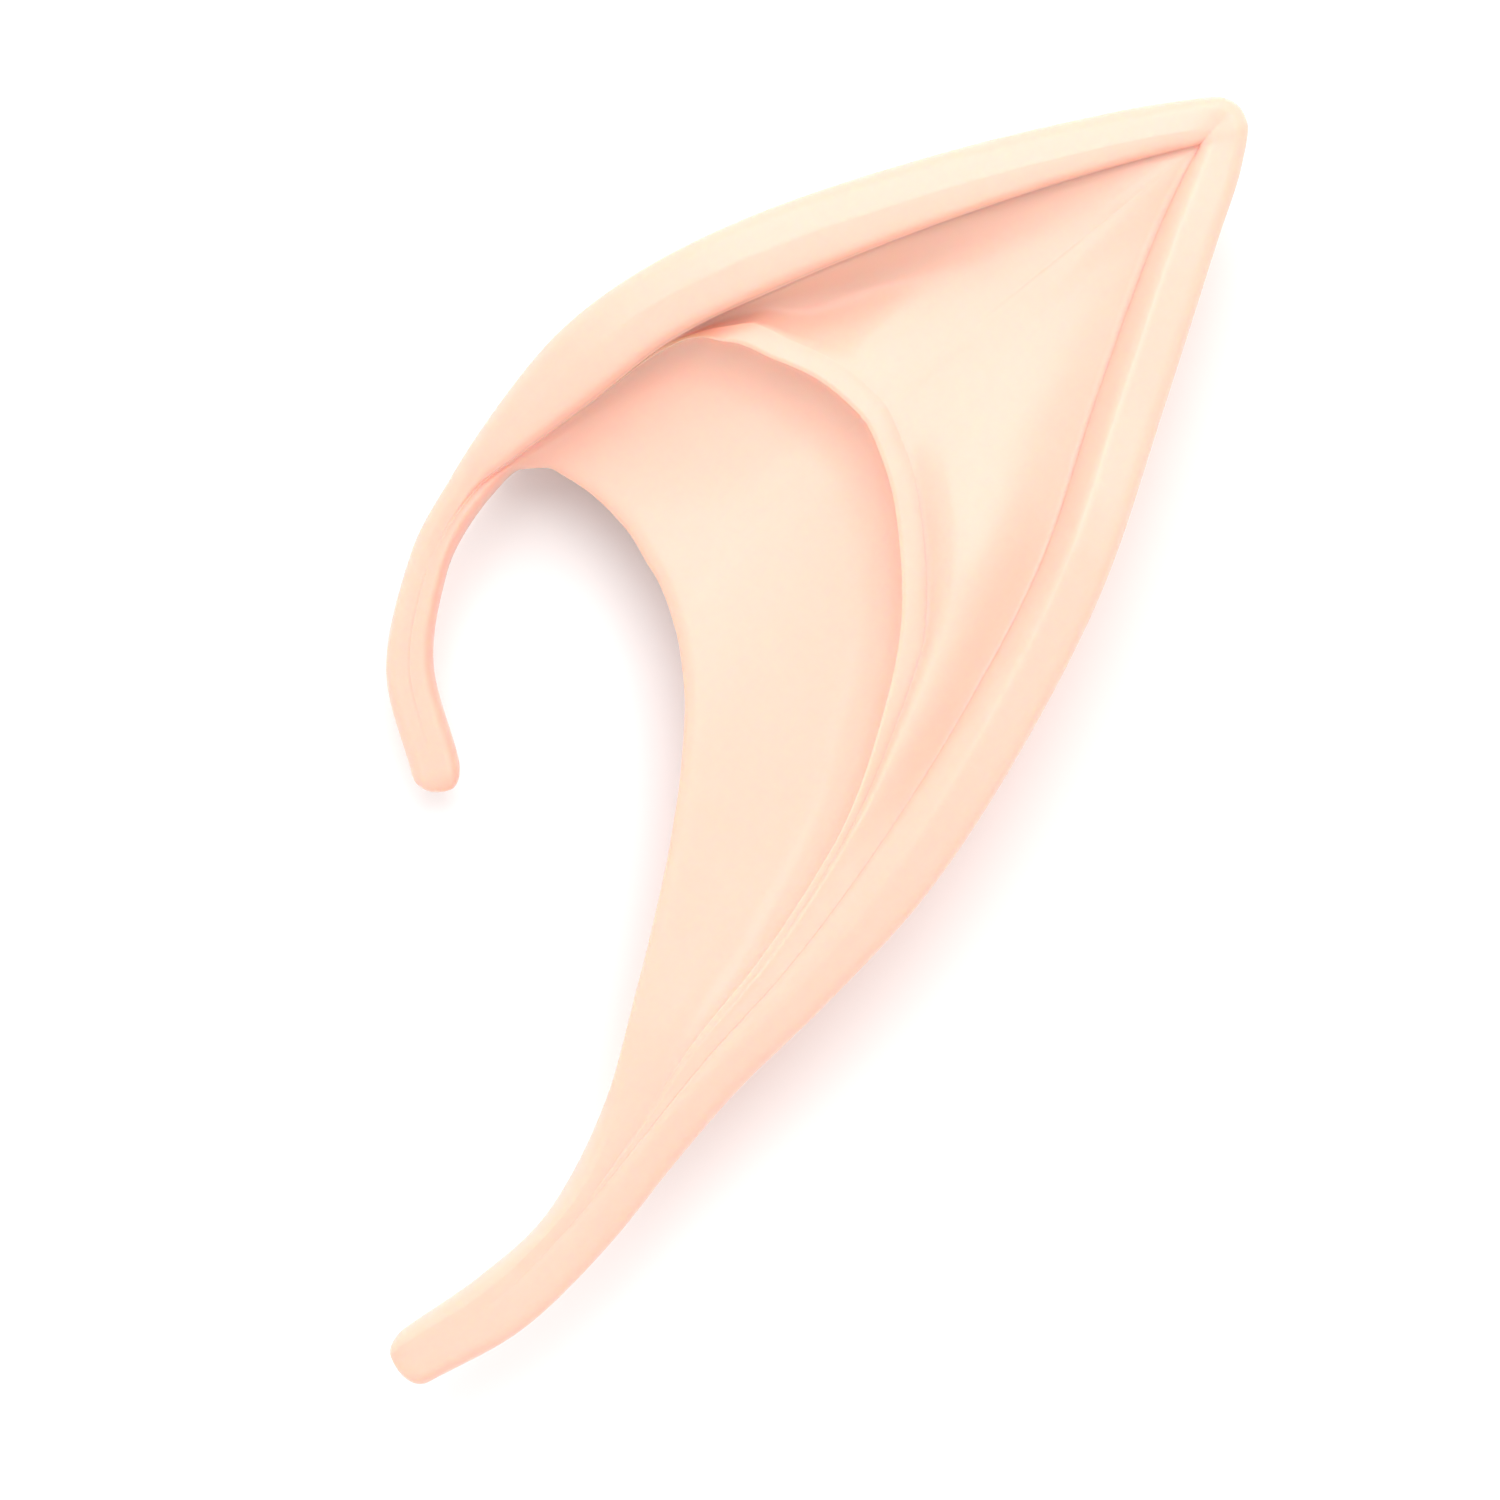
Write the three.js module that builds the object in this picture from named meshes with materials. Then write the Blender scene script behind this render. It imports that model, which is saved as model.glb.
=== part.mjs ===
// A costume elf ear, moulded in one piece of soft latex, lying on its back.
// The front wall carries the relief of an ear: a rim, two folds and a hollow.
// A second wall closes it behind, and the wearer's own ear slides into the
// pocket between them through the mouth along the inner edge. The ends of the
// shell run out into two solid strips, a hook over the ear and a tail below it.
// X runs to the tip, Y up along the ear and Z out of the table it lies on.

import * as THREE from 'three';

// Driving sizes, in millimetres.
const EAR_WIDTH = 80.6; // from the hook to the tip, across
const EAR_LENGTH = 120.1; // from the tail to the tip, along
const EAR_DEPTH = 21.5; // from the table to the top of the rim
const WALL = 1.5; // latex of both walls
const CLOSED_WALL = 1.8; // latex where the two walls meet along the outline
const RIM_BAND = 8.0; // the broadest width of the rolled rim
const FOLD_BAND = 3.3; // the narrow fold beside the hollow
const FOLD_WALL = 6.0; // how far the fold takes to fall into the hollow
const EDGE_ROLL = 1.3; // rounding of the rim at the outline
const LIP_ROLL = 1.6; // rounding of the front wall's inner edge
const BACK_SET = 6.0; // how far the back wall stops short of the front one
const BACK_RISE = 1.6; // how much the back wall lifts towards its free edge
const POCKET_ROUND = 5.0; // rounding of the pocket's closed end
const SEAT_PRESS = 0.6; // how far the soft back settles flat on the table
const STRIP_DOME = 2.6; // length of the rounded ends of the hook and the tail
const WELD = 0.002; // points closer than this are one point

// Shapes of the curves across the ear.
const CREASE_SHARE = 0.75; // how far the crease lies outside the fold, in fold bands
const FOLD_ROOM = 0.3; // most that the fold's wall takes of the way to the edge
const ROLL_ROOM = 0.9; // most that the edge's rounding takes of the hollow
const STRIP_ROLL = 0.45; // rounding of a solid strip, as a share of its width
const CREASE_POWER = 3.0; // late fall from the swell into the crease
const RIB_SKEW = 0.6; // early rise from the crease to the fold
const FOLD_SKEW = 0.3; // early fall from the fold into the hollow

// How fine the faces are. Stops across a cut, with the faces before each one.
const STEPS_PER_SECTION = 3;
const FRONT_STEPS = {
  crestAt: 4, rim: 3, swellAt: 3, creaseAt: 2, foldAt: 2, hollowAt: 3, lipAt: 3, span: 3,
};
const CEILING_STEPS = {
  lipAt: 2, hollowAt: 2, foldAt: 3, creaseAt: 1, swellAt: 2, rim: 2, pocketEnd: 4,
};
const GROUND_STEPS = 7;
const BACK_STEPS = 12;
const DOME_STEPS = 3;
const INSET_SAMPLES = 8;

// Turns rows of numbers into records with named columns.
function table(columns, rows) {
  return rows.map((row) => Object.fromEntries(columns.map((name, i) => [name, row[i]])));
}

// One row for each section, from the end of the hook over the tip to the end of
// the tail. outer and edge are the ends of the section, as shares of the ear's
// width and length from its middle. foot is where the rim meets the floor, in
// rim bands from outer. crest is a share of the way from outer to foot, swell
// and fold are shares of the way from foot to edge.
const SECTIONS = table([
  'outerX', 'outerY', 'footX', 'footY', 'edgeX', 'edgeY', 'crest', 'swell', 'fold',
], [
  [-0.470, -0.026, 0.27, 0.10, -0.416, -0.012, 1.00, 0.080, 0.150],
  [-0.500, 0.058, 0.28, 0.07, -0.445, 0.067, 1.00, 0.080, 0.150],
  [-0.471, 0.147, 0.23, -0.09, -0.428, 0.134, 1.00, 0.080, 0.150],
  [-0.421, 0.209, 0.29, -0.15, -0.377, 0.192, 0.80, 0.060, 0.100],
  [-0.363, 0.266, 0.16, -0.66, -0.341, 0.213, 0.60, 0.030, 0.060],
  [-0.295, 0.319, 0.37, -0.80, -0.313, 0.214, 0.48, 0.020, 0.045],
  [-0.212, 0.361, 0.48, -0.72, -0.288, 0.206, 0.48, 0.030, 0.060],
  [-0.089, 0.403, 0.38, -0.80, -0.261, 0.194, 0.48, 0.080, 0.250],
  [0.075, 0.442, 0.22, -0.77, -0.237, 0.179, 0.52, 0.200, 0.440],
  [0.276, 0.478, 0.10, -0.66, -0.213, 0.160, 0.58, 0.280, 0.562],
  [0.423, 0.497, -0.09, -0.59, -0.193, 0.137, 0.64, 0.380, 0.615],
  [0.464, 0.500, -0.29, -0.59, -0.187, 0.131, 0.66, 0.400, 0.622],
  [0.489, 0.493, -0.46, -0.46, -0.182, 0.125, 0.68, 0.410, 0.624],
  [0.500, 0.476, -0.58, -0.25, -0.178, 0.119, 0.69, 0.420, 0.620],
  [0.493, 0.448, -0.60, 0.01, -0.173, 0.111, 0.69, 0.430, 0.611],
  [0.465, 0.390, -0.65, 0.20, -0.167, 0.099, 0.67, 0.410, 0.578],
  [0.401, 0.257, -0.73, 0.25, -0.157, 0.072, 0.65, 0.310, 0.484],
  [0.334, 0.124, -0.71, 0.29, -0.151, 0.029, 0.65, 0.225, 0.395],
  [0.241, -0.001, -0.69, 0.39, -0.155, -0.018, 0.62, 0.185, 0.300],
  [0.128, -0.118, -0.64, 0.43, -0.167, -0.075, 0.60, 0.140, 0.210],
  [0.010, -0.205, -0.43, 0.43, -0.186, -0.136, 0.62, 0.120, 0.200],
  [-0.089, -0.270, -0.37, 0.36, -0.211, -0.203, 0.70, 0.120, 0.220],
  [-0.157, -0.323, -0.37, 0.31, -0.239, -0.272, 0.75, 0.100, 0.200],
  [-0.245, -0.396, -0.36, 0.33, -0.313, -0.369, 0.80, 0.080, 0.150],
  [-0.345, -0.460, -0.27, 0.37, -0.389, -0.416, 0.80, 0.080, 0.150],
  [-0.447, -0.498, -0.14, 0.38, -0.473, -0.455, 0.85, 0.080, 0.150],
]);

// Heights at the sections, as shares of the ear's depth: the rim's top and how
// much lower it is at the outline, the floor at its foot, the swell, the crease,
// the fold, the hollow, the lip of the inner edge, and the underside. side is
// where the outline lies between underside and top. drop is how squarely the rim
// falls to its foot. pocket is how much of the section's width the pocket takes.
const LEVELS = [
  'top', 'slant', 'foot', 'swell', 'crease', 'fold', 'hollow', 'lip', 'under',
];
const SHAPES = ['side', 'drop', 'pocket'];
const HEIGHTS = table(['section', ...LEVELS, ...SHAPES], [
  [0, 0.34, 0.00, 0.340, 0.340, 0.340, 0.340, 0.340, 0.340, 0.16, 0.60, 2.0, 0.00],
  [2, 0.42, 0.00, 0.420, 0.420, 0.420, 0.420, 0.420, 0.420, 0.21, 0.65, 2.0, 0.00],
  [3, 0.52, 0.01, 0.490, 0.490, 0.490, 0.490, 0.480, 0.470, 0.22, 0.74, 2.5, 0.00],
  [4, 0.64, 0.02, 0.500, 0.500, 0.495, 0.490, 0.460, 0.440, 0.16, 0.84, 4.0, 0.35],
  [5, 0.76, 0.03, 0.510, 0.510, 0.505, 0.500, 0.470, 0.430, 0.06, 0.88, 6.0, 0.90],
  [6, 0.82, 0.04, 0.560, 0.560, 0.560, 0.560, 0.475, 0.435, 0.00, 0.89, 7.0, 1.00],
  [7, 0.86, 0.04, 0.600, 0.580, 0.670, 0.690, 0.480, 0.445, 0.00, 0.89, 7.0, 1.00],
  [8, 0.86, 0.04, 0.670, 0.535, 0.680, 0.710, 0.485, 0.460, 0.00, 0.89, 7.0, 1.00],
  [9, 0.85, 0.04, 0.725, 0.605, 0.700, 0.730, 0.495, 0.480, 0.00, 0.89, 5.0, 1.00],
  [10, 0.83, 0.03, 0.760, 0.675, 0.712, 0.744, 0.507, 0.505, 0.00, 0.90, 3.0, 1.00],
  [11, 0.82, 0.02, 0.769, 0.685, 0.716, 0.748, 0.512, 0.512, 0.00, 0.90, 2.7, 1.00],
  [12, 0.81, 0.02, 0.771, 0.691, 0.718, 0.750, 0.516, 0.518, 0.00, 0.91, 2.3, 1.00],
  [13, 0.81, 0.01, 0.770, 0.696, 0.721, 0.752, 0.520, 0.524, 0.00, 0.91, 2.0, 1.00],
  [14, 0.82, 0.01, 0.766, 0.702, 0.725, 0.755, 0.525, 0.532, 0.00, 0.92, 1.7, 1.00],
  [15, 0.86, 0.01, 0.752, 0.725, 0.733, 0.762, 0.535, 0.547, 0.00, 0.93, 1.6, 1.00],
  [16, 0.93, 0.01, 0.760, 0.820, 0.760, 0.780, 0.558, 0.572, 0.00, 0.93, 1.5, 1.00],
  [17, 1.00, 0.01, 0.800, 0.895, 0.795, 0.815, 0.586, 0.602, 0.00, 0.93, 1.5, 1.00],
  [18, 0.99, 0.01, 0.840, 0.905, 0.835, 0.840, 0.615, 0.627, 0.00, 0.93, 1.5, 1.00],
  [19, 0.93, 0.01, 0.850, 0.840, 0.810, 0.805, 0.648, 0.650, 0.00, 0.93, 1.5, 1.00],
  [20, 0.85, 0.01, 0.810, 0.790, 0.775, 0.765, 0.680, 0.670, 0.00, 0.92, 1.6, 1.00],
  [21, 0.77, 0.01, 0.740, 0.735, 0.730, 0.725, 0.700, 0.680, 0.05, 0.90, 1.8, 0.90],
  [22, 0.71, 0.01, 0.690, 0.685, 0.680, 0.675, 0.675, 0.665, 0.20, 0.86, 2.0, 0.40],
  [23, 0.66, 0.01, 0.645, 0.645, 0.645, 0.645, 0.645, 0.645, 0.33, 0.80, 2.0, 0.00],
  [24, 0.63, 0.01, 0.620, 0.620, 0.620, 0.620, 0.620, 0.620, 0.39, 0.74, 2.0, 0.00],
  [25, 0.60, 0.01, 0.590, 0.590, 0.590, 0.590, 0.590, 0.590, 0.41, 0.68, 2.0, 0.00],
]);

const mix = (from, to, share) => from + (to - from) * share;
const clamp = (value, low, high) => Math.min(Math.max(value, low), high);

// A smooth step from 0 to 1. A skew below 1 makes it start steeply.
function ease(share, skew = 1) {
  const t = clamp(share, 0, 1) ** skew;
  return t * t * (3 - 2 * t);
}

// The rise of a quarter ellipse, from 0 at its upright end to 1 at its flat end.
// More power squares it off.
function quarter(share, power = 2) {
  return (1 - (1 - clamp(share, 0, 1)) ** power) ** (1 / power);
}

// A smooth curve through values at knots that never swings past a value.
function track(knots, values) {
  const gaps = values.slice(1).map((_, i) => knots[i + 1] - knots[i]);
  const rates = gaps.map((gap, i) => (values[i + 1] - values[i]) / gap);
  const slopes = values.map((_, i) => {
    if (i === 0) return rates[0];
    if (i === values.length - 1) return rates[i - 1];
    if (rates[i - 1] * rates[i] <= 0) return 0;
    const before = 2 * gaps[i] + gaps[i - 1];
    const after = gaps[i] + 2 * gaps[i - 1];
    return (before + after) / (before / rates[i - 1] + after / rates[i]);
  });
  return (knot) => {
    let i = 0;
    while (i < gaps.length - 1 && knot > knots[i + 1]) i += 1;
    const t = (knot - knots[i]) / gaps[i];
    const start = t * (1 - t) * (1 - t) * gaps[i] * slopes[i];
    const finish = t * t * (t - 1) * gaps[i] * slopes[i + 1];
    return mix(values[i], values[i + 1], ease(t)) + start + finish;
  };
}

// The ends and the rim's foot of each section, in millimetres.
const rails = SECTIONS.map(({ outerX, outerY, footX, footY, edgeX, edgeY }) => {
  const start = new THREE.Vector2(outerX * EAR_WIDTH, outerY * EAR_LENGTH);
  return {
    start,
    foot: new THREE.Vector2(footX, footY).multiplyScalar(RIM_BAND).add(start),
    end: new THREE.Vector2(edgeX * EAR_WIDTH, edgeY * EAR_LENGTH),
  };
});

// Sections are spaced by the mean of the steps that their two ends take.
const knots = [0];
for (let i = 1; i < rails.length; i += 1) {
  const outerStep = rails[i].start.distanceTo(rails[i - 1].start);
  const innerStep = rails[i].end.distanceTo(rails[i - 1].end);
  knots.push(knots[i - 1] + (outerStep + innerStep) / 2);
}

const tracks = {};
for (const rail of ['start', 'foot', 'end']) {
  tracks[`${rail}X`] = track(knots, rails.map((section) => section[rail].x));
  tracks[`${rail}Y`] = track(knots, rails.map((section) => section[rail].y));
}
for (const name of ['crest', 'swell', 'fold']) {
  tracks[`${name}Share`] = track(knots, SECTIONS.map((section) => section[name]));
}
const heightKnots = HEIGHTS.map((row) => knots[row.section]);
for (const name of LEVELS) {
  tracks[name] = track(heightKnots, HEIGHTS.map((row) => row[name] * EAR_DEPTH));
}
for (const name of SHAPES) {
  tracks[name] = track(heightKnots, HEIGHTS.map((row) => row[name]));
}

// Everything that one cut across the ear needs. Distances along it are measured
// from the outline, over the rim's foot, to the inner edge. Each stop on the
// front's floor has its place, its level and the curve that leads to the next.
function cutAt(row) {
  const i = Math.min(Math.floor(row), knots.length - 2);
  const knot = mix(knots[i], knots[i + 1], row - i);
  const cut = {};
  for (const name of Object.keys(tracks)) cut[name] = tracks[name](knot);
  cut.startPoint = new THREE.Vector2(cut.startX, cut.startY);
  cut.footPoint = new THREE.Vector2(cut.footX, cut.footY);
  cut.endPoint = new THREE.Vector2(cut.endX, cut.endY);
  cut.rim = cut.startPoint.distanceTo(cut.footPoint);
  cut.floor = cut.footPoint.distanceTo(cut.endPoint);
  cut.span = cut.rim + cut.floor;
  cut.crestAt = cut.crestShare * cut.rim;
  cut.edgeRoll = Math.min(EDGE_ROLL, cut.crestAt);
  cut.swellAt = cut.rim + cut.swellShare * cut.floor;
  cut.foldAt = cut.rim + cut.foldShare * cut.floor;
  cut.creaseAt = Math.max(cut.foldAt - CREASE_SHARE * FOLD_BAND, (cut.swellAt + cut.foldAt) / 2);
  cut.hollowAt = cut.foldAt + Math.min(FOLD_WALL, FOLD_ROOM * (cut.span - cut.foldAt));
  cut.roll = Math.min(LIP_ROLL, ROLL_ROOM * (cut.span - cut.hollowAt));
  cut.lipAt = cut.span - cut.roll;
  cut.sideLevel = mix(cut.under, cut.top, cut.side);
  cut.open = ease(2 * cut.pocket);
  cut.edgeLevel = mix((cut.lip + cut.under) / 2, cut.lip - WALL / 2, cut.open);
  cut.pocketEnd = cut.span - cut.pocket * (cut.span - CLOSED_WALL);
  cut.pocketRound = Math.min(POCKET_ROUND, (cut.span - cut.pocketEnd) / 2);
  cut.backSpan = cut.span - cut.pocket * BACK_SET;
  cut.belly = cut.backSpan / 2;
  cut.backRoll = mix(STRIP_ROLL * cut.span, WALL / 2, cut.open);
  cut.backEdge = mix(cut.edgeLevel, cut.under + BACK_RISE + WALL / 2, cut.open);
  cut.stops = [
    [cut.rim, cut.foot, ease],
    [cut.swellAt, cut.swell, (share) => share ** CREASE_POWER],
    [cut.creaseAt, cut.crease, (share) => ease(share, RIB_SKEW)],
    [cut.foldAt, cut.fold, (share) => ease(share, FOLD_SKEW)],
    [cut.hollowAt, cut.hollow, ease],
    [cut.span, cut.lip, null],
  ];
  return cut;
}

// The front surface before its inner edge is rounded.
function frontBase(cut, s) {
  if (s <= cut.crestAt) {
    const facet = cut.top - cut.slant * (1 - s / cut.crestAt);
    return mix(cut.sideLevel, facet, quarter(s / cut.edgeRoll));
  }
  if (s <= cut.rim) {
    const fall = quarter((cut.rim - s) / (cut.rim - cut.crestAt), cut.drop);
    return mix(cut.foot, cut.top, fall);
  }
  const next = cut.stops.findIndex(([at], i) => i > 0 && s <= at);
  if (next < 0) return cut.lip;
  const [from, low, curve] = cut.stops[next - 1];
  const [to, high] = cut.stops[next];
  return mix(low, high, curve((s - from) / (to - from)));
}

function front(cut, s) {
  const past = 1 - quarter((cut.span - s) / cut.roll);
  return frontBase(cut, s) - (cut.lip - cut.edgeLevel) * past;
}

// The back surface: a belly that leaves the outline upright, lies on the table
// along its middle and lifts a little towards its free edge.
function back(cut, s) {
  const drop = (cut.sideLevel - cut.under) * quarter(s / cut.belly);
  const rise = BACK_RISE * cut.open * ease((s - cut.belly) / (cut.backSpan - cut.belly));
  const turn = 1 - quarter((cut.backSpan - s) / cut.backRoll);
  const level = cut.sideLevel - drop + rise;
  const rolled = mix(level, cut.backEdge, turn);
  return Math.max(0, rolled - SEAT_PRESS * (1 - turn) * quarter(s / cut.belly));
}

// The inner faces of the two walls, each a wall's thickness from the outside.
function pocket(cut, s) {
  let ceiling = Infinity;
  let ground = -Infinity;
  for (let i = 0; i <= INSET_SAMPLES; i += 1) {
    const aside = WALL * ((2 * i) / INSET_SAMPLES - 1);
    const reach = Math.sqrt(WALL * WALL - aside * aside);
    const behind = clamp(s + aside, 0, cut.backSpan - cut.backRoll);
    ceiling = Math.min(ceiling, frontBase(cut, Math.max(0, s + aside)) - reach);
    ground = Math.max(ground, back(cut, behind) + reach);
  }
  const middle = mix(cut.edgeLevel, (ceiling + ground) / 2, cut.open);
  if (s <= cut.pocketEnd) return { ceiling: middle, ground: middle };
  const round = quarter((s - cut.pocketEnd) / cut.pocketRound);
  const gap = (cut.open * round * Math.max(0, ceiling - ground)) / 2;
  return { ceiling: middle + gap, ground: middle - gap };
}

function place(cut, s, z) {
  const point = s <= cut.rim
    ? cut.startPoint.clone().lerp(cut.footPoint, s / cut.rim)
    : cut.footPoint.clone().lerp(cut.endPoint, (s - cut.rim) / cut.floor);
  return new THREE.Vector3(point.x, point.y, z);
}

// One closed loop round a cut: over the front, into the pocket under the front
// wall, out of it over the back wall, and home along the back.
function loopAt(row) {
  const cut = cutAt(row);
  const points = [];
  let from = 0;
  for (const [stop, steps] of Object.entries(FRONT_STEPS)) {
    for (let i = 0; i < steps; i += 1) {
      const angle = (i / steps) * (Math.PI / 2);
      let share = i / steps;
      if (['crestAt', 'foldAt', 'hollowAt'].includes(stop)) share = 1 - Math.cos(angle);
      if (stop === 'rim' || stop === 'span') share = Math.sin(angle);
      const s = mix(from, cut[stop], share);
      points.push(place(cut, s, front(cut, s)));
    }
    from = cut[stop];
  }
  points.push(place(cut, cut.span, cut.edgeLevel));
  for (const [stop, steps] of Object.entries(CEILING_STEPS)) {
    const to = Math.max(cut[stop], cut.pocketEnd);
    for (let i = 1; i <= steps; i += 1) {
      const share = i / steps;
      const s = mix(from, to, stop === 'pocketEnd' ? Math.sin(share * (Math.PI / 2)) : share);
      points.push(place(cut, s, pocket(cut, s).ceiling));
    }
    from = to;
  }
  for (let i = 1; i <= GROUND_STEPS; i += 1) {
    const s = mix(cut.pocketEnd, cut.backSpan, ease(i / (GROUND_STEPS + 1)));
    points.push(place(cut, s, pocket(cut, s).ground));
  }
  for (let i = 0; i < BACK_STEPS; i += 1) {
    const angle = (i / BACK_STEPS) * Math.PI;
    const s = (cut.backSpan * (1 + Math.cos(angle))) / 2;
    points.push(place(cut, s, back(cut, s)));
  }
  return points;
}

function middleOf(points) {
  const sum = points.reduce((total, point) => total.add(point), new THREE.Vector3());
  return sum.divideScalar(points.length);
}

// Rings that close a strip's end with a dome, from the last loop outwards.
function domeRings(loop, neighbour) {
  const centre = middleOf(loop);
  const outward = centre.clone().sub(middleOf(neighbour)).setZ(0).normalize();
  const rings = [];
  for (let i = 1; i <= DOME_STEPS; i += 1) {
    const angle = (i / DOME_STEPS) * (Math.PI / 2);
    const middle = centre.clone().addScaledVector(outward, STRIP_DOME * Math.sin(angle));
    const size = i < DOME_STEPS ? Math.cos(angle) : 0;
    rings.push(loop.map((point) => middle.clone().addScaledVector(point.clone().sub(centre), size)));
  }
  return rings;
}

function earGeometry() {
  const loops = [];
  const last = (SECTIONS.length - 1) * STEPS_PER_SECTION;
  for (let i = 0; i <= last; i += 1) loops.push(loopAt(i / STEPS_PER_SECTION));
  const hookDome = domeRings(loops[0], loops[1]).reverse();
  const tailDome = domeRings(loops[last], loops[last - 1]);
  const rings = [...hookDome, ...loops, ...tailDome];

  const positions = [];
  const numbers = new Map();
  const numberOf = (point) => {
    const key = point.toArray().map((value) => Math.round(value / WELD)).join();
    if (!numbers.has(key)) {
      numbers.set(key, numbers.size);
      positions.push(...point.toArray());
    }
    return numbers.get(key);
  };
  const grid = rings.map((ring) => ring.map(numberOf));
  const faces = [];
  const addFace = (a, b, c) => {
    if (a !== b && b !== c && c !== a) faces.push(a, b, c);
  };
  for (let i = 0; i < grid.length - 1; i += 1) {
    for (let j = 0; j < grid[i].length; j += 1) {
      const next = (j + 1) % grid[i].length;
      addFace(grid[i][j], grid[i + 1][next], grid[i + 1][j]);
      addFace(grid[i][j], grid[i][next], grid[i + 1][next]);
    }
  }
  const geometry = new THREE.BufferGeometry();
  geometry.setAttribute('position', new THREE.Float32BufferAttribute(positions, 3));
  geometry.setIndex(faces);
  geometry.computeBoundingBox();
  const middle = geometry.boundingBox.getCenter(new THREE.Vector3());
  geometry.translate(-middle.x, -middle.y, 0);
  geometry.computeVertexNormals();
  return geometry;
}

const latex = new THREE.MeshStandardMaterial({ color: 0xfddcc3, roughness: 0.55, metalness: 0 });
const ear = new THREE.Mesh(earGeometry(), latex);
ear.name = 'ear_shell';

const part = new THREE.Group();
part.add(ear);

export default part;
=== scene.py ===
import math

import bmesh
import bpy
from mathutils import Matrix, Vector


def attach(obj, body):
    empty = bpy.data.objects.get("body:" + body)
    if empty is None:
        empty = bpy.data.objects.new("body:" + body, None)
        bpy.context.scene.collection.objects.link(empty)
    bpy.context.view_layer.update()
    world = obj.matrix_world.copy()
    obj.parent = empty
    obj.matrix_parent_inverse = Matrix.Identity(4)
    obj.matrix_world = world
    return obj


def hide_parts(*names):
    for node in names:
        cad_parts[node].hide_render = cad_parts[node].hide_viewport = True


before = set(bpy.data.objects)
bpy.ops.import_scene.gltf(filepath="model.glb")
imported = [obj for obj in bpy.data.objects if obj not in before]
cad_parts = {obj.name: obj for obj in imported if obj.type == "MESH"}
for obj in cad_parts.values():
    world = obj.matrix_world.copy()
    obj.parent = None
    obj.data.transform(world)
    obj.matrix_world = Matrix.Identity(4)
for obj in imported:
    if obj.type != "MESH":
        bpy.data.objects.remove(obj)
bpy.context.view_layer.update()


# The ear shell: a pointed costume ear moulded in one piece of soft latex. A front
# wall with the relief of an ear and a back wall meet along the outline, with the
# pocket for the wearer's own ear between them, and run out into a hook and a tail.
EAR_WIDTH = 80.6  # millimetres, from the hook to the tip, across
EAR_LENGTH = 120.1  # from the tail to the tip, along
EAR_DEPTH = 21.5  # from the table to the top of the rim
WALL = 1.5  # latex of both walls
CLOSED_WALL = 1.8  # latex where the two walls meet along the outline
RIM_BAND = 8.0  # the broadest width of the rolled rim
FOLD_BAND = 3.3  # the narrow fold beside the hollow
FOLD_WALL = 6.0  # how far the fold takes to fall into the hollow
EDGE_ROLL = 1.3  # rounding of the rim at the outline
LIP_ROLL = 1.6  # rounding of the front wall's inner edge
BACK_SET = 6.0  # how far the back wall stops short of the front one
BACK_RISE = 1.6  # how much the back wall lifts towards its free edge
POCKET_ROUND = 5.0  # rounding of the pocket's closed end
SEAT_PRESS = 0.6  # how far the soft back settles flat on the table
STRIP_DOME = 2.6  # length of the rounded ends of the hook and the tail
CREASE_SHARE = 0.75  # how far the crease lies outside the fold, in fold bands
FOLD_ROOM = 0.3  # most that the fold's wall takes of the way to the edge
ROLL_ROOM = 0.9  # most that the edge's rounding takes of the hollow
STRIP_ROLL = 0.45  # rounding of a solid strip, as a share of its width
CREASE_POWER = 3.0  # late fall from the swell into the crease
RIB_SKEW = 0.6  # early rise from the crease to the fold
FOLD_SKEW = 0.3  # early fall from the fold into the hollow
WELD = 0.002  # points closer than this are one point
MILLIMETRE = 0.001  # in metres

# How fine the faces are: stops across a cut, with the faces before each one.
STEPS_PER_SECTION = 12
FRONT_STEPS = {
    "crest_at": 12, "rim": 14, "swell_at": 14, "crease_at": 8,
    "fold_at": 8, "hollow_at": 14, "lip_at": 12, "span": 8,
}
CEILING_STEPS = {
    "lip_at": 4, "hollow_at": 6, "fold_at": 8, "crease_at": 3,
    "swell_at": 4, "rim": 6, "pocket_end": 10,
}
GROUND_STEPS = 20
BACK_STEPS = 36
DOME_STEPS = 8
INSET_SAMPLES = 12  # points of the surface looked at for each point inside

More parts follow.
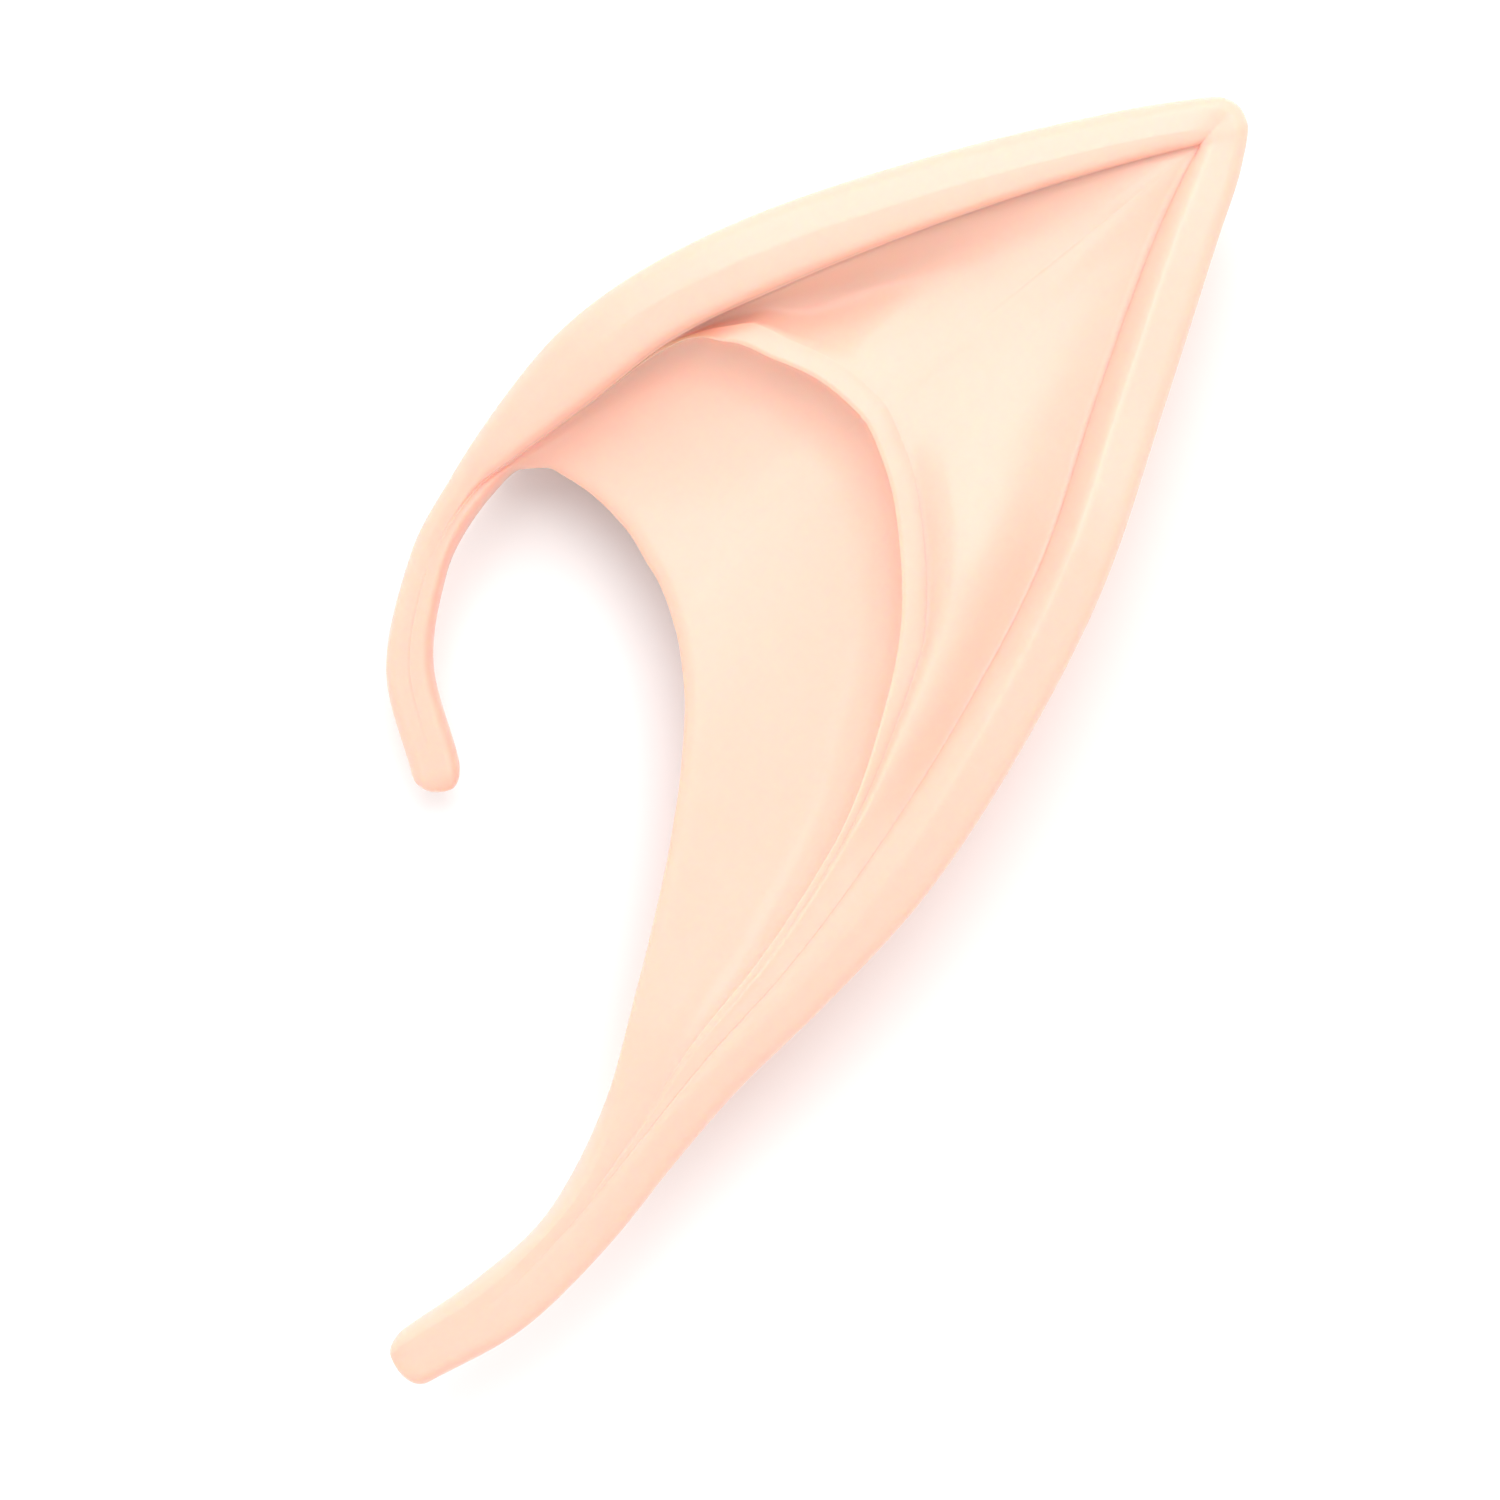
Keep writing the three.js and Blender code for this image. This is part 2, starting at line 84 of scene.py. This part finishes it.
# A row for each section, from the end of the hook over the tip to the end of the
# tail: the two ends as shares of the ear's width and length, the rim's foot in rim
# bands from the outer end, and where the crest, the swell and the fold lie.
SECTION_COLUMNS = (
    "outer_x", "outer_y", "foot_x", "foot_y", "edge_x", "edge_y", "crest", "swell", "fold",
)
SECTION_ROWS = (
    (-0.470, -0.026, 0.27, 0.10, -0.416, -0.012, 1.00, 0.080, 0.150),
    (-0.500, 0.058, 0.28, 0.07, -0.445, 0.067, 1.00, 0.080, 0.150),
    (-0.471, 0.147, 0.23, -0.09, -0.428, 0.134, 1.00, 0.080, 0.150),
    (-0.421, 0.209, 0.29, -0.15, -0.377, 0.192, 0.80, 0.060, 0.100),
    (-0.363, 0.266, 0.16, -0.66, -0.341, 0.213, 0.60, 0.030, 0.060),
    (-0.295, 0.319, 0.37, -0.80, -0.313, 0.214, 0.48, 0.020, 0.045),
    (-0.212, 0.361, 0.48, -0.72, -0.288, 0.206, 0.48, 0.030, 0.060),
    (-0.089, 0.403, 0.38, -0.80, -0.261, 0.194, 0.48, 0.080, 0.250),
    (0.075, 0.442, 0.22, -0.77, -0.237, 0.179, 0.52, 0.200, 0.440),
    (0.276, 0.478, 0.10, -0.66, -0.213, 0.160, 0.58, 0.280, 0.562),
    (0.423, 0.497, -0.09, -0.59, -0.193, 0.137, 0.64, 0.380, 0.615),
    (0.464, 0.500, -0.29, -0.59, -0.187, 0.131, 0.66, 0.400, 0.622),
    (0.489, 0.493, -0.46, -0.46, -0.182, 0.125, 0.68, 0.410, 0.624),
    (0.500, 0.476, -0.58, -0.25, -0.178, 0.119, 0.69, 0.420, 0.620),
    (0.493, 0.448, -0.60, 0.01, -0.173, 0.111, 0.69, 0.430, 0.611),
    (0.465, 0.390, -0.65, 0.20, -0.167, 0.099, 0.67, 0.410, 0.578),
    (0.401, 0.257, -0.73, 0.25, -0.157, 0.072, 0.65, 0.310, 0.484),
    (0.334, 0.124, -0.71, 0.29, -0.151, 0.029, 0.65, 0.225, 0.395),
    (0.241, -0.001, -0.69, 0.39, -0.155, -0.018, 0.62, 0.185, 0.300),
    (0.128, -0.118, -0.64, 0.43, -0.167, -0.075, 0.60, 0.140, 0.210),
    (0.010, -0.205, -0.43, 0.43, -0.186, -0.136, 0.62, 0.120, 0.200),
    (-0.089, -0.270, -0.37, 0.36, -0.211, -0.203, 0.70, 0.120, 0.220),
    (-0.157, -0.323, -0.37, 0.31, -0.239, -0.272, 0.75, 0.100, 0.200),
    (-0.245, -0.396, -0.36, 0.33, -0.313, -0.369, 0.62, 0.080, 0.150),
    (-0.345, -0.460, -0.27, 0.37, -0.389, -0.416, 0.50, 0.080, 0.150),
    (-0.447, -0.498, -0.14, 0.38, -0.473, -0.455, 0.50, 0.080, 0.150),
)

# Heights at the sections, as shares of the ear's depth: the rim's top and how much
# lower it is at the outline, the floor at its foot, the swell, the crease, the fold,
# the hollow, the lip of the inner edge and the underside. Then where the outline lies
# between underside and top, how squarely the rim falls to its foot, and how much of
# the section's width the pocket takes.
LEVELS = ("top", "slant", "foot", "swell", "crease", "fold", "hollow", "lip", "under")
SHAPES = ("side", "drop", "pocket")
HEIGHT_ROWS = (
    (0, 0.34, 0.00, 0.340, 0.340, 0.340, 0.340, 0.340, 0.340, 0.16, 0.60, 2.0, 0.00),
    (2, 0.42, 0.00, 0.420, 0.420, 0.420, 0.420, 0.420, 0.420, 0.21, 0.65, 2.0, 0.00),
    (3, 0.52, 0.01, 0.490, 0.490, 0.490, 0.490, 0.480, 0.470, 0.22, 0.74, 2.5, 0.00),
    (4, 0.64, 0.02, 0.500, 0.500, 0.495, 0.490, 0.460, 0.440, 0.16, 0.84, 4.0, 0.35),
    (5, 0.76, 0.03, 0.510, 0.510, 0.505, 0.500, 0.470, 0.430, 0.06, 0.88, 6.0, 0.90),
    (6, 0.82, 0.04, 0.560, 0.560, 0.560, 0.560, 0.475, 0.435, 0.00, 0.89, 7.0, 1.00),
    (7, 0.86, 0.04, 0.600, 0.580, 0.670, 0.690, 0.480, 0.445, 0.00, 0.89, 7.0, 1.00),
    (8, 0.86, 0.04, 0.670, 0.535, 0.680, 0.710, 0.485, 0.460, 0.00, 0.89, 7.0, 1.00),
    (9, 0.85, 0.04, 0.725, 0.605, 0.700, 0.730, 0.495, 0.480, 0.00, 0.89, 5.0, 1.00),
    (10, 0.83, 0.03, 0.760, 0.675, 0.712, 0.744, 0.507, 0.505, 0.00, 0.90, 3.0, 1.00),
    (11, 0.82, 0.02, 0.769, 0.685, 0.716, 0.748, 0.512, 0.512, 0.00, 0.90, 2.7, 1.00),
    (12, 0.81, 0.02, 0.771, 0.691, 0.718, 0.750, 0.516, 0.518, 0.00, 0.91, 2.3, 1.00),
    (13, 0.81, 0.01, 0.770, 0.696, 0.721, 0.752, 0.520, 0.524, 0.00, 0.91, 2.0, 1.00),
    (14, 0.82, 0.01, 0.766, 0.702, 0.725, 0.755, 0.525, 0.532, 0.00, 0.92, 1.7, 1.00),
    (15, 0.86, 0.01, 0.752, 0.725, 0.733, 0.762, 0.535, 0.547, 0.00, 0.93, 1.6, 1.00),
    (16, 0.93, 0.01, 0.760, 0.820, 0.760, 0.780, 0.558, 0.572, 0.00, 0.93, 1.5, 1.00),
    (17, 1.00, 0.01, 0.800, 0.895, 0.795, 0.815, 0.586, 0.602, 0.00, 0.93, 1.5, 1.00),
    (18, 0.99, 0.01, 0.840, 0.905, 0.835, 0.840, 0.615, 0.627, 0.00, 0.93, 1.5, 1.00),
    (19, 0.93, 0.01, 0.850, 0.840, 0.810, 0.805, 0.648, 0.650, 0.00, 0.93, 1.5, 1.00),
    (20, 0.85, 0.01, 0.810, 0.790, 0.775, 0.765, 0.680, 0.670, 0.00, 0.92, 1.6, 1.00),
    (21, 0.77, 0.01, 0.740, 0.735, 0.730, 0.725, 0.700, 0.680, 0.05, 0.90, 1.8, 0.90),
    (22, 0.71, 0.01, 0.690, 0.685, 0.680, 0.675, 0.675, 0.665, 0.20, 0.86, 2.0, 0.40),
    (23, 0.66, 0.01, 0.648, 0.648, 0.648, 0.648, 0.648, 0.648, 0.33, 0.80, 1.5, 0.00),
    (24, 0.63, 0.00, 0.627, 0.627, 0.627, 0.627, 0.627, 0.627, 0.39, 0.74, 1.4, 0.00),
    (25, 0.60, 0.00, 0.600, 0.600, 0.600, 0.600, 0.600, 0.600, 0.41, 0.68, 1.4, 0.00),
)


def mix(start, end, share):
    return start + (end - start) * share


def clamp(value, low, high):
    return min(max(value, low), high)


def ease(share, skew=1.0):
    """A smooth step from 0 to 1. A skew below 1 makes it start steeply."""
    t = clamp(share, 0.0, 1.0) ** skew
    return t * t * (3.0 - 2.0 * t)


def quarter(share, power=2.0):
    """The rise of a quarter ellipse, from its upright end. More power squares it off."""
    return (1.0 - (1.0 - clamp(share, 0.0, 1.0)) ** power) ** (1.0 / power)


def track(knots, values):
    """A smooth curve through values at knots that never swings past a value."""
    gaps = [after - before for before, after in zip(knots, knots[1:])]
    rates = [(values[i + 1] - values[i]) / gap for i, gap in enumerate(gaps)]
    slopes = [rates[0]]
    for i in range(1, len(gaps)):
        slope = 0.0
        if rates[i - 1] * rates[i] > 0.0:
            before = 2.0 * gaps[i] + gaps[i - 1]
            after = gaps[i] + 2.0 * gaps[i - 1]
            slope = (before + after) / (before / rates[i - 1] + after / rates[i])
        slopes.append(slope)
    slopes.append(rates[-1])

    def at(knot):
        i = 0
        while i < len(gaps) - 1 and knot > knots[i + 1]:
            i += 1
        t = (knot - knots[i]) / gaps[i]
        start = t * (1.0 - t) * (1.0 - t) * gaps[i] * slopes[i]
        finish = t * t * (t - 1.0) * gaps[i] * slopes[i + 1]
        return mix(values[i], values[i + 1], ease(t)) + start + finish

    return at


sections = [dict(zip(SECTION_COLUMNS, row)) for row in SECTION_ROWS]
heights = [dict(zip(("section",) + LEVELS + SHAPES, row)) for row in HEIGHT_ROWS]
rails = {"start": [], "foot": [], "end": []}
for section in sections:
    start = Vector((section["outer_x"] * EAR_WIDTH, section["outer_y"] * EAR_LENGTH))
    rails["start"].append(start)
    rails["foot"].append(start + Vector((section["foot_x"], section["foot_y"])) * RIM_BAND)
    rails["end"].append(Vector((section["edge_x"] * EAR_WIDTH, section["edge_y"] * EAR_LENGTH)))

# Sections are spaced by the mean of the steps that their two ends take.
knots = [0.0]
for i in range(1, len(sections)):
    outer_step = (rails["start"][i] - rails["start"][i - 1]).length
    inner_step = (rails["end"][i] - rails["end"][i - 1]).length
    knots.append(knots[-1] + (outer_step + inner_step) / 2.0)

tracks = {}
for rail, points in rails.items():
    tracks[rail + "_x"] = track(knots, [point.x for point in points])
    tracks[rail + "_y"] = track(knots, [point.y for point in points])
for name in ("crest", "swell", "fold"):
    tracks[name + "_share"] = track(knots, [section[name] for section in sections])
height_knots = [knots[row["section"]] for row in heights]
for name in LEVELS:
    tracks[name] = track(height_knots, [row[name] * EAR_DEPTH for row in heights])
for name in SHAPES:
    tracks[name] = track(height_knots, [row[name] for row in heights])


class Cut:
    """One cut across the ear, measured from the outline over the rim to the edge."""

    def __init__(self, row):
        i = min(int(row), len(knots) - 2)
        knot = mix(knots[i], knots[i + 1], row - i)
        for name, curve in tracks.items():
            setattr(self, name, curve(knot))
        self.start = Vector((self.start_x, self.start_y))
        self.foot_point = Vector((self.foot_x, self.foot_y))
        self.end = Vector((self.end_x, self.end_y))
        self.rim = (self.foot_point - self.start).length
        self.floor = (self.end - self.foot_point).length
        self.span = self.rim + self.floor
        self.crest_at = self.crest_share * self.rim
        self.edge_roll = min(EDGE_ROLL, self.crest_at)
        self.swell_at = self.rim + self.swell_share * self.floor
        self.fold_at = self.rim + self.fold_share * self.floor
        self.crease_at = max(
            self.fold_at - CREASE_SHARE * FOLD_BAND, (self.swell_at + self.fold_at) / 2.0
        )
        self.hollow_at = self.fold_at + min(FOLD_WALL, FOLD_ROOM * (self.span - self.fold_at))
        self.roll = min(LIP_ROLL, ROLL_ROOM * (self.span - self.hollow_at))
        self.lip_at = self.span - self.roll
        self.side_level = mix(self.under, self.top, self.side)
        self.open = ease(2.0 * self.pocket)
        self.edge_level = mix((self.lip + self.under) / 2.0, self.lip - WALL / 2.0, self.open)
        self.pocket_end = self.span - self.pocket * (self.span - CLOSED_WALL)
        self.pocket_round = min(POCKET_ROUND, (self.span - self.pocket_end) / 2.0)
        self.back_span = self.span - self.pocket * BACK_SET
        self.belly = self.back_span / 2.0
        self.back_roll = mix(STRIP_ROLL * self.span, WALL / 2.0, self.open)
        self.back_edge = mix(self.edge_level, self.under + BACK_RISE + WALL / 2.0, self.open)
        self.stops = (
            (self.rim, self.foot, ease),
            (self.swell_at, self.swell, lambda share: share ** CREASE_POWER),
            (self.crease_at, self.crease, lambda share: ease(share, RIB_SKEW)),
            (self.fold_at, self.fold, lambda share: ease(share, FOLD_SKEW)),
            (self.hollow_at, self.hollow, ease),
            (self.span, self.lip, None),
        )

    def front_base(self, s):
        """The front surface before its inner edge is rounded."""
        if s <= self.crest_at:
            facet = self.top - self.slant * (1.0 - s / self.crest_at)
            return mix(self.side_level, facet, quarter(s / self.edge_roll))
        if s <= self.rim:
            fall = quarter((self.rim - s) / (self.rim - self.crest_at), self.drop)
            return mix(self.foot, self.top, fall)
        for (start, low, curve), (end, high, _) in zip(self.stops, self.stops[1:]):
            if s <= end:
                return mix(low, high, curve((s - start) / (end - start)))
        return self.lip

    def front(self, s):
        past = 1.0 - quarter((self.span - s) / self.roll)
        return self.front_base(s) - (self.lip - self.edge_level) * past

    def back(self, s):
        """A belly that lies on the table and lifts a little towards its free edge."""
        belly = quarter(s / self.belly)
        lift = ease((s - self.belly) / (self.back_span - self.belly))
        level = self.side_level - (self.side_level - self.under) * belly
        turn = 1.0 - quarter((self.back_span - s) / self.back_roll)
        rolled = mix(level + BACK_RISE * self.open * lift, self.back_edge, turn)
        return max(0.0, rolled - SEAT_PRESS * (1.0 - turn) * belly)

    def inside(self, s):
        """The inner faces of the two walls, each a wall's thickness from the outside."""
        ceiling = math.inf
        ground = -math.inf
        for i in range(INSET_SAMPLES + 1):
            aside = WALL * (2.0 * i / INSET_SAMPLES - 1.0)
            reach = math.sqrt(max(0.0, WALL * WALL - aside * aside))
            behind = clamp(s + aside, 0.0, self.back_span - self.back_roll)
            ceiling = min(ceiling, self.front_base(max(0.0, s + aside)) - reach)
            ground = max(ground, self.back(behind) + reach)
        middle = mix(self.edge_level, (ceiling + ground) / 2.0, self.open)
        if s <= self.pocket_end:
            return middle, middle
        round_end = quarter((s - self.pocket_end) / self.pocket_round)
        gap = self.open * round_end * max(0.0, ceiling - ground) / 2.0
        return middle + gap, middle - gap

    def place(self, s, z):
        if s <= self.rim:
            point = self.start.lerp(self.foot_point, s / self.rim)
        else:
            point = self.foot_point.lerp(self.end, (s - self.rim) / self.floor)
        return Vector((point.x, point.y, z))

    def loop(self):
        """Over the front, into the pocket, out over the back wall and home."""
        points = []
        start = 0.0
        for stop, steps in FRONT_STEPS.items():
            end = getattr(self, stop)
            for i in range(steps):
                angle = i / steps * math.pi / 2.0
                share = i / steps
                if stop in ("crest_at", "fold_at", "hollow_at"):
                    share = 1.0 - math.cos(angle)
                if stop in ("rim", "span"):
                    share = math.sin(angle)
                s = mix(start, end, share)
                points.append(self.place(s, self.front(s)))
            start = end
        points.append(self.place(self.span, self.edge_level))
        for stop, steps in CEILING_STEPS.items():
            end = max(getattr(self, stop), self.pocket_end)
            for i in range(1, steps + 1):
                share = i / steps
                if stop == "pocket_end":
                    share = math.sin(share * math.pi / 2.0)
                s = mix(start, end, share)
                points.append(self.place(s, self.inside(s)[0]))
            start = end
        for i in range(1, GROUND_STEPS + 1):
            s = mix(self.pocket_end, self.back_span, ease(i / (GROUND_STEPS + 1)))
            points.append(self.place(s, self.inside(s)[1]))
        for i in range(BACK_STEPS):
            s = self.back_span * (1.0 + math.cos(i / BACK_STEPS * math.pi)) / 2.0
            points.append(self.place(s, self.back(s)))
        return points


def middle_of(points):
    return sum(points, Vector((0.0, 0.0, 0.0))) / len(points)


def dome_rings(loop, neighbour):
    """Rings that close a strip's end with a dome, from the last loop outwards."""
    centre = middle_of(loop)
    outward = centre - middle_of(neighbour)
    outward.z = 0.0
    outward.normalize()
    rings = []
    for i in range(1, DOME_STEPS + 1):
        angle = i / DOME_STEPS * math.pi / 2.0
        middle = centre + outward * STRIP_DOME * math.sin(angle)
        size = math.cos(angle) if i < DOME_STEPS else 0.0
        rings.append([middle + (point - centre) * size for point in loop])
    return rings


last_row = (len(sections) - 1) * STEPS_PER_SECTION
loops = [Cut(i / STEPS_PER_SECTION).loop() for i in range(last_row + 1)]
hook_dome = dome_rings(loops[0], loops[1])
tail_dome = dome_rings(loops[-1], loops[-2])
rings = hook_dome[::-1] + loops + tail_dome


def add_object(name, data):
    """Puts new data into the scene as an object at the origin."""
    added = bpy.data.objects.new(name, data)
    bpy.context.scene.collection.objects.link(added)
    return added


# A sheet of quads is wrapped through the rings, then its seam and its ends close.
shell = bmesh.new()
ring_steps = len(rings) - 1
loop_steps = len(rings[0])
bmesh.ops.create_grid(shell, x_segments=ring_steps, y_segments=loop_steps, size=0.5)
for vert in shell.verts:
    ring = round((vert.co.x + 0.5) * ring_steps)
    step = round((vert.co.y + 0.5) * loop_steps) % loop_steps
    vert.co = rings[ring][step] * MILLIMETRE
low = [min(vert.co[axis] for vert in shell.verts) for axis in range(3)]
high = [max(vert.co[axis] for vert in shell.verts) for axis in range(3)]
to_middle = Vector((-(low[0] + high[0]) / 2.0, -(low[1] + high[1]) / 2.0, 0.0))
bmesh.ops.translate(shell, verts=shell.verts, vec=to_middle)
bmesh.ops.remove_doubles(shell, verts=shell.verts, dist=WELD * MILLIMETRE)
bmesh.ops.recalc_face_normals(shell, faces=shell.faces)
for face in shell.faces:
    face.smooth = True
ear_mesh = bpy.data.meshes.new("elf_ear")
shell.to_mesh(ear_mesh)
shell.free()
ear = add_object("elf_ear", ear_mesh)


class Signal:
    """Wraps one output socket, so that shader maths reads as maths."""

    def __init__(self, tree, socket=None):
        self.tree = tree
        self.socket = socket

    def node(self, kind, settings=None, sockets=None, output=0):
        """Adds a node: its settings come first, then its sockets' values or links."""
        node = self.tree.nodes.new(kind)
        for name, value in (settings or {}).items():
            setattr(node, name, value)
        for name, value in (sockets or {}).items():
            if isinstance(value, Signal):
                self.tree.links.new(value.socket, node.inputs[name])
            else:
                node.inputs[name].default_value = value
        return Signal(self.tree, node.outputs[output] if node.outputs else None)

    def math(self, operation, first, second):
        return self.node("ShaderNodeMath", {"operation": operation}, {0: first, 1: second})

    def __add__(self, other):
        return self.math("ADD", self, other)

    __radd__ = __add__

    def __mul__(self, other):
        return self.math("MULTIPLY", self, other)

    __rmul__ = __mul__


# The latex is pale, a little see-through and satin, with hardly any colour change
# from place to place and a fine grain from its mould.
PALE = (0.95, 0.52, 0.41, 1.0)
WARM = (0.96, 0.54, 0.43, 1.0)
CLOUD_SCALE = 45.0  # soft patches, about 2 cm across
MOTTLE_SCALE = 420.0  # fine mottling, about 2 mm across
GRAIN_SCALE = 2600.0  # the skin's grain, about 0.4 mm across
CLOUD_PART = 0.7  # of the clouds in the colour, and the rest is mottling
MOTTLE_PART = 0.3
GRAIN_HEIGHT = 0.6  # of the grain in the relief, and the rest is mottling
MOTTLE_HEIGHT = 0.4
SATIN = 0.45  # the roughness between the clouds
SATIN_RANGE = 0.08  # how much rougher the clouds make it
GRAIN_STRENGTH = 0.05
GRAIN_DEPTH = 0.0001  # metres
GLOW_DEPTH = 0.003  # how far red light goes into the latex, in metres
GLOW_COLOURS = (1.0, 0.36, 0.2)  # how far the colours go in, as shares of that

latex = bpy.data.materials.new("moulded_latex")
latex.use_nodes = True
latex.node_tree.nodes.clear()
paint = Signal(latex.node_tree)
place = paint.node("ShaderNodeTexCoord", output="Object")


def noise(scale, detail, roughness):
    sockets = {"Vector": place, "Scale": scale, "Detail": detail, "Roughness": roughness}
    return paint.node("ShaderNodeTexNoise", {}, sockets, "Fac")


clouds = noise(CLOUD_SCALE, detail=3.0, roughness=0.55)
mottle = noise(MOTTLE_SCALE, detail=2.0, roughness=0.5)
grain = noise(GRAIN_SCALE, detail=2.0, roughness=0.6)
tint = clouds * CLOUD_PART + mottle * MOTTLE_PART
colour = paint.node(
    "ShaderNodeMix", {"data_type": "RGBA"}, {"Factor": tint, "A": PALE, "B": WARM}, "Result"
)
relief = grain * GRAIN_HEIGHT + mottle * MOTTLE_HEIGHT
finish = paint.node(
    "ShaderNodeBump",
    {},
    {"Strength": GRAIN_STRENGTH, "Distance": GRAIN_DEPTH, "Height": relief},
    "Normal",
)
surface = paint.node(
    "ShaderNodeBsdfPrincipled",
    {"subsurface_method": "RANDOM_WALK"},
    {
        "Base Color": colour,
        "Roughness": SATIN + clouds * SATIN_RANGE,
        "Subsurface Weight": 0.8,
        "Subsurface Radius": GLOW_COLOURS,
        "Subsurface Scale": GLOW_DEPTH,
        "IOR": 1.45,
        "Coat Weight": 0.45,
        "Coat Roughness": 0.22,
        "Normal": finish,
    },
    "BSDF",
)
paint.node("ShaderNodeOutputMaterial", {}, {"Surface": surface})
ear_mesh.materials.append(latex)
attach(ear, "root")
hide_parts("ear_shell")


# The studio: a white table under the ear, one large soft light over its top end
# and white surroundings.
TABLE_REACH = 2.0  # from the middle to each side, in metres
TABLE_WHITE = (0.92, 0.92, 0.92, 1.0)
TABLE_ROUGHNESS = 0.7
SOFTBOX_SIDES = (1.8, 1.5)  # metres
SOFTBOX_PLACE = (0.0, 1.0, 1.48)  # beyond the tip, up high
SOFTBOX_WATTS = 25.5
ROOM_WHITE = (1.0, 1.0, 1.0, 1.0)
ROOM_STRENGTH = 0.97

table = bmesh.new()
bmesh.ops.create_grid(table, x_segments=1, y_segments=1, size=TABLE_REACH)
table_mesh = bpy.data.meshes.new("white_table")
table.to_mesh(table_mesh)
table.free()
floor = add_object("white_table", table_mesh)
white = bpy.data.materials.new("white_table")
white.use_nodes = True
table_surface = white.node_tree.nodes["Principled BSDF"]
table_surface.inputs["Base Color"].default_value = TABLE_WHITE
table_surface.inputs["Roughness"].default_value = TABLE_ROUGHNESS
table_mesh.materials.append(white)

softbox = bpy.data.lights.new("softbox", "AREA")
softbox.shape = "RECTANGLE"
softbox.size, softbox.size_y = SOFTBOX_SIDES
softbox.energy = SOFTBOX_WATTS
softbox_object = add_object("softbox", softbox)
softbox_object.location = SOFTBOX_PLACE
to_the_ear = -softbox_object.location
softbox_object.rotation_euler = to_the_ear.to_track_quat("-Z", "Y").to_euler()

room = bpy.data.worlds.new("white_room")
room.use_nodes = True
background = room.node_tree.nodes["Background"]
background.inputs["Color"].default_value = ROOM_WHITE
background.inputs["Strength"].default_value = ROOM_STRENGTH
bpy.context.scene.world = room
bpy.context.scene.view_settings.view_transform = "Standard"

# The camera looks straight down on the ear, as in the photograph. Its frame is as
# wide as the photograph's is at the level of the ear's front.
CAMERA_PLACE = (-0.00607, -0.00075, 0.9)
FRAME_WIDTH = 0.1402
FOCUS_LEVEL = 0.012  # height at which the frame has that width
SENSOR_WIDTH = 36.0  # millimetres
CLIP_START = 0.01  # nearest that the camera sees

camera = bpy.data.cameras.new("camera")
camera.sensor_width = SENSOR_WIDTH
camera.lens = SENSOR_WIDTH * (CAMERA_PLACE[2] - FOCUS_LEVEL) / FRAME_WIDTH
camera.clip_start = CLIP_START
camera_object = add_object("camera", camera)
camera_object.location = CAMERA_PLACE
bpy.context.scene.camera = camera_object
